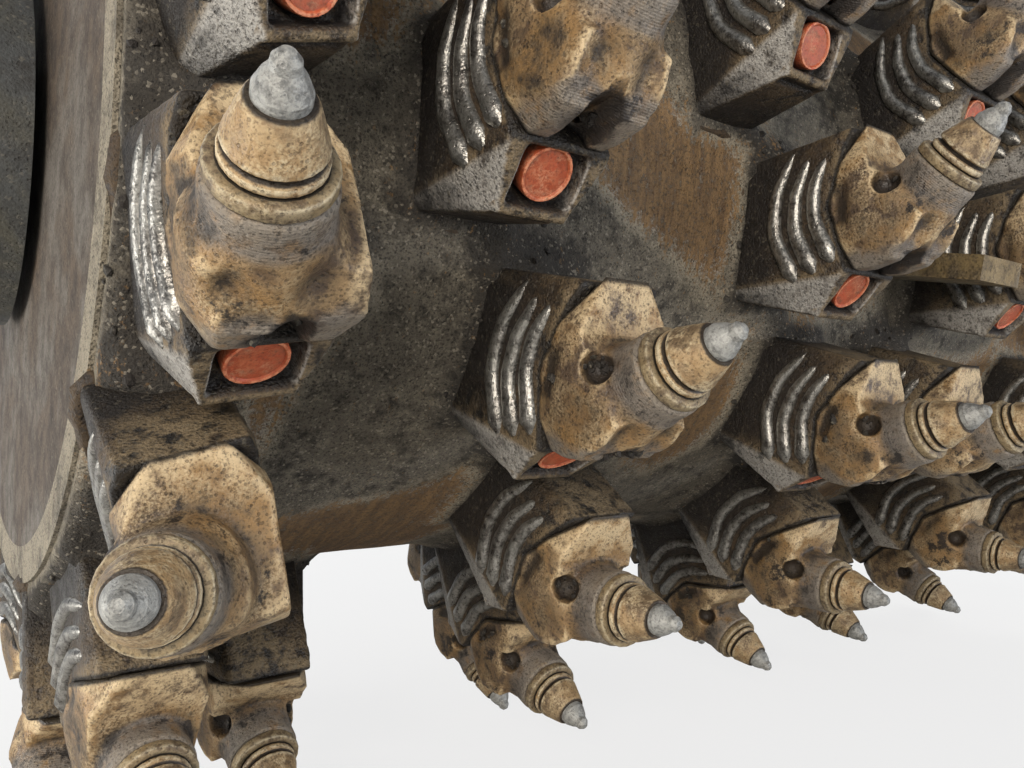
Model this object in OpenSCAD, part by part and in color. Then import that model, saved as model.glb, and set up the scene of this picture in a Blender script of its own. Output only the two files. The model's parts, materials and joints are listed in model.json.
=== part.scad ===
// Milling drum of a cold planer, in millimetres.
// X runs along the drum's axis toward the drive side, Y away from the front, Z up.
// The origin is the centre of the drive flange's outer face. The drum turns about X.

/* [Drum] */
// Width that the cutting tips cover
cut_w = 1300; // [1200:5:1400]
// Radius of the cutting circle, at the tips
cut_r = 490; // [480:1:500]
// Outer radius of the drum tube
tube_r = 315; // [308:1:320]
// Wall of the drum tube
tube_wall = 25; // [18:1:32]
// How far the tube's ends stay inside the outermost tips
tube_inset = 18; // [12:1:26]
// From the drive flange's face to the outermost tips on that side
drive_gap = 62; // [58:1:72]

/* [Cutting pattern] */
// Distance between neighbouring cutting lines
line_pitch = 15; // [15:0.5:16]
// Holders along a flight in one turn of the drum
steps_per_turn = 16; // [14:1:16]
// Where the flights of both halves meet, past mid-width toward the drive side
meet_shift = 15; // [0:1:20]
// Nearest cutting line of a flight to the outermost tips
edge_band = 131; // [131:1:145]
// How far in from the outermost tips the edge holders stand
edge_seat = 60; // [58:1:62]
// Angle of the first edge holder on the bearing side
edge_phase_bearing = -10.3; // [-12:0.1:-8]
// Angle of the first edge holder on the drive side
edge_phase_drive = 8; // [7:0.1:9]
// How much of the way to the middle of its seat an edge pick leans
lean_share = 0.73; // [0.68:0.01:0.8]
// Turn of an edge holder on the tube for each millimetre between its tip and its seat, degrees
seat_turn = 0.28; // [0.2:0.01:0.32]

/* [Picks] */
// Lean of a pick forward of the drum's radius
pick_lean = 40.4; // [39:0.1:42]
// From the tip to the steel head, the length of carbide that shows
carbide_len = 18; // [15:0.5:20]
// Largest radius of the carbide
carbide_r = 9.6; // [9:0.1:10]
// Radius of the rounded button at the very tip
button_r = 4.8; // [4:0.1:5.5]
// From the tip to the widest part of the steel head
head_len = 36; // [34:0.5:38]
// Largest radius of the steel head
head_r = 17.6; // [16.5:0.1:19]
// Radius of the collar under the head
collar_r = 18.4; // [17.5:0.1:20]
// From the tip to the wear washer
washer_top = 43.5; // [42:0.5:45]
// Thickness of the wear washer
washer_t = 7; // [5:0.5:8]
// Radius of the wear washer
washer_r = 22.7; // [21.5:0.1:23.2]
// Radius of the round shank
shank_r = 9.9; // [9:0.1:10.5]
// Length of the shank below the washer
shank_len = 66; // [55:1:68]
// Running clearance of the shank in its bore
shank_clear = 0.1; // [0.05:0.05:0.3]

/* [Upper holders] */
// Width of an upper holder
upper_w = 68; // [64:1:70]
// Radius of the round nose that the washer rests on
nose_r = 24; // [23.2:0.1:26]
// Length of the straight part of the nose
nose_len = 14; // [10:0.5:18]
// Half the height of the block round the bore
block_half = 34; // [30:1:36]
// Radius of the shallow pits beside the nose
pit_r = 9; // [6:0.5:11]
// Depth of the flat recess in each flank
flank_cut = 1.6; // [1:0.1:3]
// Radius of the drive-out notch at the back
notch_r = 11; // [8:0.5:13]

/* [Base holders] */
// Width of a base holder
base_w = 64; // [58:1:66]
// Height of the parting vee's lowest line above the tube
vee_h = 72; // [66:1:75]
// Radius of the grey rounded ribs on the flanks, half their width
rib_r = 3.6; // [2.4:0.1:3.8]
// Distance between the ribs
rib_pitch = 14; // [11:0.5:15]
// How far the ribs stand out of the flank
rib_out = 3.4; // [1.5:0.1:3.8]
// Width of the pocket in the back of a base
pocket_w = 40; // [36:1:44]
// Depth of that pocket
pocket_d = 10; // [7:0.5:13]
// Radius of the round plug in the pocket
plug_r = 15; // [13:0.5:16]
// Height of the plug
plug_h = 8; // [6:0.5:10]
// How far the plug stands above the pocket's floor
plug_proud = 2; // [1:0.5:3]

/* [Drive side] */
// Radius of the fixed drive flange
flange_r = 235; // [225:1:245]
// Thickness of the fixed drive flange
flange_t = 30; // [22:1:34]
// Radius of the bolt circle of the drive flange
bolt_circle_r = 205; // [195:1:210]
// Number of bolts in the drive flange
bolt_count = 16; // [10:2:24]
// Radius of the holes in the drive flange
bolt_hole_r = 11; // [8:0.5:13]
// Radius of the fixed spindle that the gear case turns on
spindle_r = 120; // [105:1:130]
// Length of the spindle
spindle_len = 190; // [160:1:210]
// Outer radius of the gear case
case_r = 180; // [165:1:184]
// Length of the gear case
case_len = 330; // [300:1:360]
// Radius of the gear case's bolting rim
rim_r = 235; // [215:1:245]
// Thickness of that rim, and of the ring inside the tube that carries it
rim_t = 24; // [18:1:30]
// Radius of the input shaft
input_r = 32; // [28:0.5:36]
// How far the input shaft stands out of the drive flange
input_out = 70; // [50:1:90]
// Radius of its free end, where a coupling slides on
end_r = 30; // [26:0.5:31]
// Width of the groove behind the free end
groove_w = 8; // [5:1:12]
// Running clearance of shafts in their bores
run_clear = 0.05; // [0.02:0.01:0.09]

/* [Bearing side] */
// Radius of the stub shaft
stub_r = 60; // [50:1:70]
// Radius of the bearing housing
housing_r = 130; // [115:1:150]
// Length of the bearing housing
housing_len = 62; // [50:1:75]
// Thickness of the end plate that carries the stub shaft
plate_t = 30; // [22:1:36]
// Gap between turning and standing parts
side_gap = 8; // [6:0.5:12]

/* [Throwers] */
// Height of a thrower plate above the tube
thrower_h = 105; // [80:1:120]
// Thickness of a thrower plate
thrower_t = 20; // [14:1:26]
// Width of a thrower plate along the drum
thrower_w = 68; // [50:1:70]

/* [Hidden] */
$fn = 48;

step_deg = 360 / steps_per_turn;
x_edge_drive = -drive_gap;
x_edge_bearing = -drive_gap - cut_w;
x_meet = x_edge_bearing + cut_w / 2 + meet_shift;
x_tube_drive = x_edge_drive - tube_inset;
x_tube_bearing = x_edge_bearing + tube_inset;
tube_in = tube_r - tube_wall;
x_case = -flange_t - side_gap;
x_rim = x_case - spindle_len + 2;
x_house = x_tube_bearing - side_gap - housing_len;

// Angle of the innermost holder of each flight, in degrees about the drum's axis.
// Columns: on the bearing half, on the drive half.
ENDS = [[-67.8, -22.8], [22.2, 67.2], [112.2, 157.2], [206.9, 247.2]];
STARTS = len(ENDS);
// Where each edge holder's tip lies, in from the outermost tips.
// Columns: distance, extra turn in degrees.
EDGE = [[30, 0], [0, 1.5], [60, 0], [15, 0], [75, 0], [0, 0], [105, 0], [0, 0],
        [30, 0], [120, 0], [45, 0], [15, 0], [90, 0], [0, 0], [60, 0], [0, 0]];

lines_bearing = floor((cut_w / 2 + meet_shift - edge_band) / line_pitch);
lines_drive = floor((cut_w / 2 - meet_shift - line_pitch - edge_band) / line_pitch);

// Holders of flight k as [x, angle], innermost first, each half in turn
function flight(k) = concat(
  [for (c = [k : STARTS : lines_bearing])
    [x_meet - line_pitch * c, ENDS[k][0] + step_deg * floor(c / STARTS)]],
  [for (c = [k : STARTS : lines_drive])
    [x_meet + line_pitch * (c + 1), ENDS[k][1] + step_deg * floor(c / STARTS)]]);

// Outline of a holder, in the plane across the drum's axis: forward, outward.
// Its zero is under the tip, on the drum's axis.
vee_y = -49;
vee_front = [3, 18];
vee_back = [-94, 13];
vee_tilt = vee_back[1] / (vee_y - vee_back[0]);
z_vee = tube_r + vee_h;
P_FRONT = [vee_front[0], z_vee + vee_front[1]];
P_VEE = [vee_y, z_vee];
P_BACK = [vee_back[0], z_vee + vee_back[1]];
B_BACK = [-123, z_vee - 14];
back_dir = atan2(B_BACK[1] - P_BACK[1], B_BACK[0] - P_BACK[0]) + 180;
// Centre of the plug, down the back face
plug_down = 19;
nose_base = washer_top + washer_t;
block_top = nose_base + nose_len + 9;

// The pick's axis crosses the parting vee's rear leg at this distance from the tip
seat_len = (cut_r - tube_r - vee_h + vee_tilt * vee_y) / (cos(pick_lean) + vee_tilt * sin(pick_lean));
function edge_skew(tip_in) = asin(lean_share * (edge_seat - tip_in) / seat_len);

// Corners as [x, y, radius] to points, each round corner in short straight steps
function unit(v) = v / norm(v);
function corner(p, q, r, rad, steps) =
  let(a = unit([p[0] - q[0], p[1] - q[1]]), b = unit([r[0] - q[0], r[1] - q[1]]),
      half = acos(max(-1, min(1, a * b))) / 2,
      reach = min(rad / tan(half), 0.45 * norm([p[0] - q[0], p[1] - q[1]]),
                  0.45 * norm([r[0] - q[0], r[1] - q[1]])),
      rr = reach * tan(half), m = unit(a + b), c = [q[0], q[1]] + m * rr / sin(half),
      s = [q[0], q[1]] + a * reach - c, e = [q[0], q[1]] + b * reach - c,
      a0 = atan2(s[1], s[0]), a1 = atan2(e[1], e[0]),
      da = (a1 - a0 > 180) ? a1 - a0 - 360 : (a1 - a0 < -180) ? a1 - a0 + 360 : a1 - a0)
  rad <= 0 ? [[q[0], q[1]]]
    : [for (i = [0 : steps]) c + rr * [cos(a0 + da * i / steps), sin(a0 + da * i / steps)]];
function rounded(pts, steps = 1) =
  let(n = len(pts))
  [for (i = [0 : n - 1]) each corner(pts[(i + n - 1) % n], pts[i], pts[(i + 1) % n], pts[i][2], steps)];

// Places
module on_drum(x, phi) { translate([x, 0, 0]) rotate([90 - phi, 0, 0]) children(); }
// Origin at the tip, +Z out of the holder along the pick
module pick_frame(skew) {
  translate([0, 0, cut_r]) rotate([-pick_lean, 0, 0]) rotate([0, -skew, 0]) children();
}
// A profile in the plane across the drum's axis, as thick as w along the axis
module slab(w) { rotate([90, 0, 90]) linear_extrude(w, center = true) children(); }
// The four columns of an edge row: mirrored on the drive side
module edge_row(side) {
  for (j = [0 : len(EDGE) - 1]) {
    phi = (side < 0 ? edge_phase_bearing : edge_phase_drive) - j * 360 / len(EDGE) + EDGE[j][1];
    on_drum(side < 0 ? x_edge_bearing : x_edge_drive, phi)
      mirror([side < 0 ? 0 : 1, 0, 0]) translate([EDGE[j][0], 0, 0]) {
        $skew = edge_skew(EDGE[j][0]);
        $seat_x = edge_seat - EDGE[j][0];
        $turn = seat_turn * $seat_x;
        children();
      }
  }
}
module flight_row(k) {
  for (p = flight(k)) on_drum(p[0], p[1]) {
    $skew = 0;
    $seat_x = 0;
    $turn = 0;
    children();
  }
}
// A holder is turned about this place, where the pick's axis meets the parting vee
seat_y = -seat_len * sin(pick_lean);

// Solids of one place, drawn about its tip
module carbide() {
  pick_frame($skew) rotate_extrude() polygon([[0, 0], [button_r * 0.55, -0.9], [button_r, -3.6],
    [button_r + 0.4, -6.5], [carbide_r * 0.78, -9.8], [carbide_r, -14.5], [carbide_r, -carbide_len],
    [0, -carbide_len]]);
}
module on_seat() {
  translate([$seat_x, seat_y, 0]) rotate([0, 0, $turn]) translate([0, -seat_y, 0]) children();
}
module steel_pick() {
  pick_frame($skew) rotate_extrude() polygon([[0, -carbide_len], [carbide_r + 1.6, -carbide_len],
    [carbide_r + 2.6, -carbide_len - 1.2], [head_r - 1.2, -head_len + 4], [head_r, -head_len + 1],
    [head_r, -head_len], [collar_r - 3, -head_len - 0.8], [collar_r - 3, -head_len - 1.8],
    [collar_r, -head_len - 2.8], [collar_r, -washer_top], [shank_r, -washer_top],
    [shank_r, -washer_top - washer_t - shank_len + 1.5],
    [shank_r - 1.5, -washer_top - washer_t - shank_len], [0, -washer_top - washer_t - shank_len]]);
}
module wear_washer() {
  in_r = shank_r + shank_clear;
  pick_frame($skew) rotate_extrude() polygon([[in_r, -washer_top], [washer_r - 1.5, -washer_top],
    [washer_r, -washer_top - 1.5], [washer_r, -washer_top - washer_t], [in_r, -washer_top - washer_t]]);
}
// Everything under the parting vee
module under_vee(w) {
  slab(w) polygon([P_FRONT + 60 * unit(P_FRONT - P_VEE), P_VEE, P_BACK + 60 * unit(P_BACK - P_VEE),
    [P_BACK[0] - 60, tube_r - 40], [P_FRONT[0] + 60, tube_r - 40]]);
}
module nose() {
  pick_frame($skew) rotate_extrude() polygon([[0, -nose_base], [nose_r - 1, -nose_base],
    [nose_r, -nose_base - 1], [nose_r, -nose_base - nose_len],
    [nose_r + 7, -nose_base - nose_len - 15], [nose_r + 7, -nose_base - nose_len - 26],
    [0, -nose_base - nose_len - 26]]);
}
// Point on the pick's axis plane: s back from the tip, n across, outward positive
function axis_pt(s, n) = [-s * sin(pick_lean) - n * cos(pick_lean), cut_r - s * cos(pick_lean) + n * sin(pick_lean)];
// Outlines of an upper holder seen along the radius and along the cutting direction
module upper_plan() {
  linear_extrude(cut_r) polygon([[-upper_w / 2 + 19, 9], [upper_w / 2 - 19, 9],
    [upper_w / 2, -23], [upper_w / 2, -76], [upper_w / 2 - 14, -101],
    [-upper_w / 2 + 14, -101], [-upper_w / 2, -76], [-upper_w / 2, -23]]);
}
module upper_section() {
  h = z_vee + vee_front[1] + 1;
  rotate([90, 0, 0]) linear_extrude(2 * cut_r, center = true) polygon([[-upper_w / 2, z_vee - 30],
    [upper_w / 2, z_vee - 30], [upper_w / 2, h], [nose_r + 1, h + 50], [nose_r - 4, cut_r],
    [-nose_r + 4, cut_r], [-nose_r - 1, h + 50], [-upper_w / 2, h]]);
}
module upper_holder() {
  q1 = axis_pt(block_top, -block_half + 7);
  q2 = axis_pt(block_top, block_half);
  q3 = axis_pt(block_top + 24, block_half - 2);
  difference() {
    union() {
      intersection() {
        slab(upper_w) polygon(rounded([[P_FRONT[0], P_FRONT[1], 0], [7, z_vee + 20, 0],
          [q1[0], q1[1], 9], [q2[0], q2[1], 12], [q3[0], q3[1], 0],
          [P_BACK[0], P_BACK[1] + 12, 0], [P_BACK[0], P_BACK[1], 0], [vee_y, z_vee, 0]]));
        upper_plan();
        upper_section();
      }
      nose();
    }
    pick_frame($skew) translate([0, 0, -nose_base - shank_len - 4])
      cylinder(h = shank_len + 14, r = shank_r + shank_clear);
    for (s = [-1, 1]) {
      translate([s * upper_w / 2, vee_y, z_vee + 9]) cube([2 * flank_cut, 30, 11], center = true);
      pick_frame(0) translate([s * 26, 12, -block_top - 1]) sphere(r = pit_r);
    }
    back_frame() translate([0, 0, -7]) cylinder(h = 40, r = notch_r);
  }
}
// Origin at the middle of the holder's back, on the parting line, +Z square to the base's back face
module back_frame() {
  translate([0, P_BACK[0], P_BACK[1]]) rotate([back_dir, 0, 0]) children();
}
module base_outline() {
  polygon([P_FRONT, P_VEE, P_BACK, B_BACK, [-120, z_vee - 28], [-92, tube_r - 60], [-12, tube_r - 60],
    [-2, tube_r + 40]]);
}
module ribs() {
  for (i = [0 : 2]) {
    d = 10 + rib_pitch * i;
    slab(base_w + 2 * rib_out) polygon([
      [P_FRONT[0] - 6 - 2 * i, P_FRONT[1] - d + rib_r - 3], [vee_y, z_vee - d + rib_r],
      [P_BACK[0] + 12, P_BACK[1] - d + rib_r - 4], [P_BACK[0] + 14, P_BACK[1] - d - rib_r - 4],
      [vee_y, z_vee - d - rib_r], [P_FRONT[0] - 8 - 2 * i, P_FRONT[1] - d - rib_r - 3]]);
  }
}
module base_body() {
  difference() {
    union() {
      intersection() {
        slab(base_w) base_outline();
        linear_extrude(cut_r) polygon([[-base_w / 2 + 8, 16], [base_w / 2 - 8, 16], [base_w / 2, -12],
          [base_w / 2, -98], [base_w / 2 - 14, -130], [-base_w / 2 + 14, -130], [-base_w / 2, -98],
          [-base_w / 2, -12]]);
      }
      ribs();
    }
    back_frame() {
      translate([-pocket_w / 2, -60, -pocket_d]) cube([pocket_w, 56, pocket_d + 30]);
      translate([0, -plug_down, -pocket_d - plug_h + plug_proud]) cylinder(h = plug_h + 20, r = plug_r + 0.2);
    }
  }
}
module base_holder() {
  difference() {
    on_seat() base_body();
    slab_bore();
  }
}
// The tube's own place inside a holder's foot
module slab_bore() { rotate([0, 90, 0]) cylinder(h = 400, r = tube_r, center = true, $fn = 128); }
module plug() {
  back_frame() translate([0, -plug_down, -pocket_d - plug_h + plug_proud]) cylinder(h = plug_h, r = plug_r);
}

// Nodes
module drum_tube() {
  color("#5a554d") translate([x_tube_bearing, 0, 0]) rotate([0, 90, 0]) difference() {
    cylinder(h = x_tube_drive - x_tube_bearing, r = tube_r, $fn = 128);
    translate([0, 0, -1]) cylinder(h = x_tube_drive - x_tube_bearing + 2, r = tube_in, $fn = 128);
  }
}
module ring_x(x, t, ro, ri) {
  translate([x, 0, 0]) rotate([0, 90, 0]) difference() {
    cylinder(h = t, r = ro);
    if (ri > 0) translate([0, 0, -1]) cylinder(h = t + 2, r = ri);
  }
}
module carrying_ring() { color("#4c4a46") ring_x(x_rim - rim_t, rim_t, tube_in, case_r + 2); }
module end_plate() { color("#4c4a46") ring_x(x_tube_bearing, plate_t, tube_in, 0); }
module stub_shaft() {
  color("#77736c") translate([x_house - 6, 0, 0]) rotate([0, 90, 0])
    cylinder(h = x_tube_bearing - x_house + 6, r = stub_r);
}
module gear_case() {
  color("#3f4245") union() {
    ring_x(x_case - spindle_len, spindle_len, case_r, spindle_r + run_clear);
    ring_x(x_rim, rim_t, rim_r, case_r - 10);
  }
}
module gear_case_cover() {
  color("#3f4245") ring_x(x_case - case_len, case_len - spindle_len, case_r, 0);
}
module drive_spindle() {
  color("#6b6a66") ring_x(-flange_t - side_gap - spindle_len + 6, spindle_len + side_gap - 6, spindle_r,
    input_r + run_clear);
}
module drive_flange() {
  color("#3a3d40") difference() {
    ring_x(-flange_t, flange_t, flange_r, input_r + run_clear);
    for (i = [0 : bolt_count - 1]) rotate([i * 360 / bolt_count, 0, 0])
      translate([-flange_t - 1, bolt_circle_r, 0]) rotate([0, 90, 0]) cylinder(h = flange_t + 2, r = bolt_hole_r);
  }
}
module input_shaft() {
  color("#8d8c88") translate([-flange_t - side_gap - spindle_len + 10, 0, 0]) rotate([0, 90, 0])
    union() {
      cylinder(h = flange_t + side_gap + spindle_len - 10, r = input_r);
      cylinder(h = flange_t + side_gap + spindle_len - 10 + groove_w, r = end_r - 3);
      translate([0, 0, flange_t + side_gap + spindle_len - 10 + groove_w])
        cylinder(h = input_out - groove_w, r = end_r);
    }
}
module bearing_housing() {
  color("#3a3d40") ring_x(x_house, housing_len, housing_r, stub_r + run_clear);
}
module bearing_cap() { color("#3a3d40") ring_x(x_house - 22, 22, housing_r - 20, stub_r + 2); }
module throwers() {
  color("#6f5d40") for (k = [0 : STARTS - 1])
    on_drum(x_meet - line_pitch / 2, ENDS[k][0] - 2 * step_deg + 12) difference() {
      translate([-thrower_w / 2, -thrower_t / 2, tube_r - 20]) cube([thrower_w, thrower_t, thrower_h + 20]);
      slab_bore();
    }
}
module bases_of(k) { color("#4b4338") flight_row(k) base_holder(); }
module holders_of(k) { color("#a8834f") flight_row(k) upper_holder(); }
module picks_of(k) { color("#b59a6c") flight_row(k) steel_pick(); }
module edge_bases(side) { color("#4b4338") edge_row(side) base_holder(); }
module edge_upper() {
  difference() {
    union() {
      on_seat() intersection() {
        slab(upper_w) polygon([[P_FRONT[0], P_FRONT[1]], [7, z_vee + 20], [-22, z_vee + 34],
          [-64, z_vee + 60], [-82, z_vee + 48], [P_BACK[0], P_BACK[1] + 12],
          [P_BACK[0], P_BACK[1]], [vee_y, z_vee]]);
        upper_plan();
        upper_section();
      }
      nose();
      pick_frame($skew) translate([0, 0, -nose_base - nose_len - 40])
        cylinder(h = 28, r = nose_r + 7);
    }
    pick_frame($skew) translate([0, 0, -nose_base - shank_len - 4])
      cylinder(h = shank_len + 14, r = shank_r + shank_clear);
    on_seat() {
      under_vee(3 * upper_w);
      for (s = [-1, 1])
        translate([s * upper_w / 2, vee_y, z_vee + 9]) cube([2 * flank_cut, 30, 11], center = true);
      back_frame() translate([0, 0, -7]) cylinder(h = 40, r = notch_r);
    }
  }
}
module all_flights() { for (k = [0 : STARTS - 1]) flight_row(k) children(); }
module both_edges() { edge_row(-1) children(); edge_row(1) children(); }

module bases_flight_1() { bases_of(0); }
module bases_flight_2() { bases_of(1); }
module bases_flight_3() { bases_of(2); }
module bases_flight_4() { bases_of(3); }
module bases_bearing_edge() { edge_bases(-1); }
module bases_drive_edge() { edge_bases(1); }
module holders_flight_1() { holders_of(0); }
module holders_flight_2() { holders_of(1); }
module holders_flight_3() { holders_of(2); }
module holders_flight_4() { holders_of(3); }
module holders_bearing_edge() { color("#a8834f") edge_row(-1) edge_upper(); }
module holders_drive_edge() { color("#a8834f") edge_row(1) edge_upper(); }
module picks_flight_1() { picks_of(0); }
module picks_flight_2() { picks_of(1); }
module picks_flight_3() { picks_of(2); }
module picks_flight_4() { picks_of(3); }
module picks_bearing_edge() { color("#b59a6c") edge_row(-1) steel_pick(); }
module picks_drive_edge() { color("#b59a6c") edge_row(1) steel_pick(); }
module washers_flights() { color("#a88a5c") all_flights() wear_washer(); }
module washers_edges() { color("#a88a5c") both_edges() wear_washer(); }
module tips_flight_1() { color("#a9b7b8") flight_row(0) carbide(); }
module tips_flight_2() { color("#a9b7b8") flight_row(1) carbide(); }
module tips_flight_3() { color("#a9b7b8") flight_row(2) carbide(); }
module tips_flight_4() { color("#a9b7b8") flight_row(3) carbide(); }
module tips_edges() { color("#a9b7b8") both_edges() carbide(); }
module plugs_flights() { color("#b9502f") all_flights() plug(); }
module plugs_edges() { color("#b9502f") both_edges() on_seat() plug(); }

drum_tube();
carrying_ring();
end_plate();
stub_shaft();
gear_case();
gear_case_cover();
throwers();
bases_flight_1();
bases_flight_2();
bases_flight_3();
bases_flight_4();
bases_bearing_edge();
bases_drive_edge();
holders_flight_1();
holders_flight_2();
holders_flight_3();
holders_flight_4();
holders_bearing_edge();
holders_drive_edge();
picks_flight_1();
picks_flight_2();
picks_flight_3();
picks_flight_4();
picks_bearing_edge();
picks_drive_edge();
washers_flights();
washers_edges();
tips_flight_1();
tips_flight_2();
tips_flight_3();
tips_flight_4();
tips_edges();
plugs_flights();
plugs_edges();
drive_flange();
drive_spindle();
bearing_housing();
bearing_cap();
input_shaft();
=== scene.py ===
# %% [markdown]
# # Milling drum of a cold planer
# A milling drum is a thick steel tube with pick holders wound round it like the threads of a coarse
# screw. Each holder is two forged pieces: a base welded to the tube and an upper that carries the pick.
# This lesson loads the drum's solids as a fixed frame and gives them the shape and the finish of a drum
# at the end of a working day: worn steel, packed asphalt and dry dust.

# %% Load the frame
import json
from functools import partial
from math import asin, cos, degrees, pi, radians, sin, sqrt
import bpy
import bmesh
import numpy as np
from mathutils import Matrix, Vector, noise

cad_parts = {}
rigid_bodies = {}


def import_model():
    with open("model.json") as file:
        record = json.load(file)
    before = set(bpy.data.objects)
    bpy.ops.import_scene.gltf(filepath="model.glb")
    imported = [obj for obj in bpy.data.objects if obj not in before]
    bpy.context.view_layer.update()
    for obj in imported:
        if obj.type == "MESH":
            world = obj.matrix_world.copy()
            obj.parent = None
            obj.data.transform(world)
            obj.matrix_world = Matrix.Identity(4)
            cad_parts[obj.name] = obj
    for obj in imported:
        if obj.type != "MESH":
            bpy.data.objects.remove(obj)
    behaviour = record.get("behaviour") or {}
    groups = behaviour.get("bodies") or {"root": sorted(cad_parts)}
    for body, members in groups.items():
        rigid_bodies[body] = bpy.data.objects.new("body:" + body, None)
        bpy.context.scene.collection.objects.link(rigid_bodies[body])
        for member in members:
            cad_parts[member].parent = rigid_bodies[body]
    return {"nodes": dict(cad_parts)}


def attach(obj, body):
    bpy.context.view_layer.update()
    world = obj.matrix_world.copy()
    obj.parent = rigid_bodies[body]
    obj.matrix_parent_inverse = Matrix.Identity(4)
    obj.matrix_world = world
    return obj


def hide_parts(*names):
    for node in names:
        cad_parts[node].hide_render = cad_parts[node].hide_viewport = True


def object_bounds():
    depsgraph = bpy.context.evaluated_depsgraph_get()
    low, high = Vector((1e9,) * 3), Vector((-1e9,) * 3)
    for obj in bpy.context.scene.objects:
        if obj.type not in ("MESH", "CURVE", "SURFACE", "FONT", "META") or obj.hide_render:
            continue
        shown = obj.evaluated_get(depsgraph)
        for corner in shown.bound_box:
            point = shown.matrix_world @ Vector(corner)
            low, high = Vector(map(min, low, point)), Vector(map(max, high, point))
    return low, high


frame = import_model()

cad_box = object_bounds()
scene = bpy.context.scene

# %% [markdown]
# ## Camera
# The camera stands low beside the drum's bearing end and looks along it. Its place was worked out from
# where the pick tips appear. It is turned to its heading, tipped up to the horizon and rolled a little.

# %% Camera
FOCAL_PX, PHOTO_PX, SENSOR_MM = 835.0, 1024.0, 36.0
EYE = (-1.423, -0.710, -0.191)
lens_data = bpy.data.cameras.new("camera")
camera = bpy.data.objects.new("camera", lens_data)
scene.collection.objects.link(camera)
view = Matrix.Translation(EYE)
for angle, axis in ((-37.03, "Z"), (90.0 + 1.74, "X"), (0.20, "Z")):
    view = view @ Matrix.Rotation(radians(angle), 4, axis)
camera.matrix_world = view
lens_data.sensor_width = SENSOR_MM
lens_data.lens = FOCAL_PX / PHOTO_PX * SENSOR_MM
lens_data.clip_start = 0.01
lens_data.clip_end = 60.0
scene.camera = camera
scene.view_settings.view_transform = "Standard"
print("camera at", EYE, "lens", round(lens_data.lens, 2), "mm")

# %% [markdown]
# ## Colours and nodes
# Every colour is an sRGB hex value, the way a paint card gives it. One function turns it into the linear
# value that a shader needs, one adds a node with its settings and links, and a few short ones stand for
# the nodes that come up again and again: a sum, a ramp, a mix and a mark on the mesh.

# %% Colour and node helpers
def linear(code):
    """An sRGB hex colour as linear red, green, blue and alpha."""
    parts = [int(code[i:i + 2], 16) / 255.0 for i in (1, 3, 5)]
    return tuple(p / 12.92 if p <= 0.04045 else ((p + 0.055) / 1.055) ** 2.4 for p in parts) + (1.0,)


def add(tree, kind, settings=None, **inputs):
    """Adds one node. An input is named by its socket, with _ for a space, or _0, _1 by its number."""
    node = tree.nodes.new(kind)
    for key, value in (settings or {}).items():
        setattr(node, key, value)
    for key, value in inputs.items():
        socket = node.inputs[int(key[1:])] if key[0] == "_" else node.inputs[key.replace("_", " ")]
        if isinstance(value, bpy.types.NodeSocket):
            tree.links.new(value, socket)
        else:
            socket.default_value = value
    return node


def put(tree, kind, settings=None, **inputs):
    """Adds one node and gives its first output."""
    return add(tree, kind, settings, **inputs).outputs[0]


def calc(tree, operation, *values):
    """A sum on one, two or three values."""
    return put(tree, "ShaderNodeMath", {"operation": operation}, **{"_%d" % i: v for i, v in enumerate(values)})


def span(tree, value, low, high, start=0.0, end=1.0, soft=False):
    """The value, led from low..high to start..end. soft eases both ends."""
    kind = {"interpolation_type": "SMOOTHSTEP"} if soft else {}
    return put(tree, "ShaderNodeMapRange", kind, _0=value, _1=low, _2=high, _3=start, _4=end)


def mix(tree, share, below, above):
    """One colour laid over another by a share."""
    below, above = (linear(c) if isinstance(c, str) else c for c in (below, above))
    return add(tree, "ShaderNodeMix", {"data_type": "RGBA"}, _0=share, _6=below, _7=above).outputs[2]


def marked(tree, name):
    """What the mesh says at a point under that name."""
    return add(tree, "ShaderNodeAttribute", {"attribute_name": name}).outputs["Fac"]


print("linear of #808080:", [round(v, 3) for v in linear("#808080")])

# %% [markdown]
# ## Floor, light and background
# The drum hangs over a pale floor, in a pale world. A large lamp stands level with the drum, behind the
# camera. One low lamp is the daylight under the drum, which draws the bright lines along the worn ribs.
# One lights it from the ground, and two fill the far sides.

# %% Floor
def thing(name, data):
    """A new object in the scene, at the origin."""
    piece = bpy.data.objects.new(name, data)
    scene.collection.objects.link(piece)
    return piece


FLOOR_GAP, FLOOR_HALF = 0.004, 9
floor_z = cad_box[0][2] - FLOOR_GAP
sheet = bpy.data.meshes.new("floor")
sheet.from_pydata([(x * FLOOR_HALF, y * FLOOR_HALF, floor_z) for x, y in ((-1, -1), (1, -1), (1, 1), (-1, 1))],
                  [], [(0, 1, 2, 3)])
floor = thing("floor", sheet)
paint = bpy.data.materials.new("pale floor paint")
paint.use_nodes = True
floor.data.materials.append(paint)
ft = paint.node_tree
matt = ft.nodes["Principled BSDF"]
matt.inputs["Base Color"].default_value = linear("#DEDDDA")
matt.inputs["Roughness"].default_value = 0.9
share = calc(ft, "MULTIPLY", add(ft, "ShaderNodeLightPath").outputs["Is Camera Ray"], 0.78)
glow = put(ft, "ShaderNodeEmission", Color=linear("#FFFFFF"), Strength=1.0)
pale = put(ft, "ShaderNodeMixShader", _0=share, _1=matt.outputs[0], _2=glow)
ft.links.new(pale, ft.nodes["Material Output"].inputs["Surface"])
print("floor at z", round(floor_z, 3))

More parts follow.
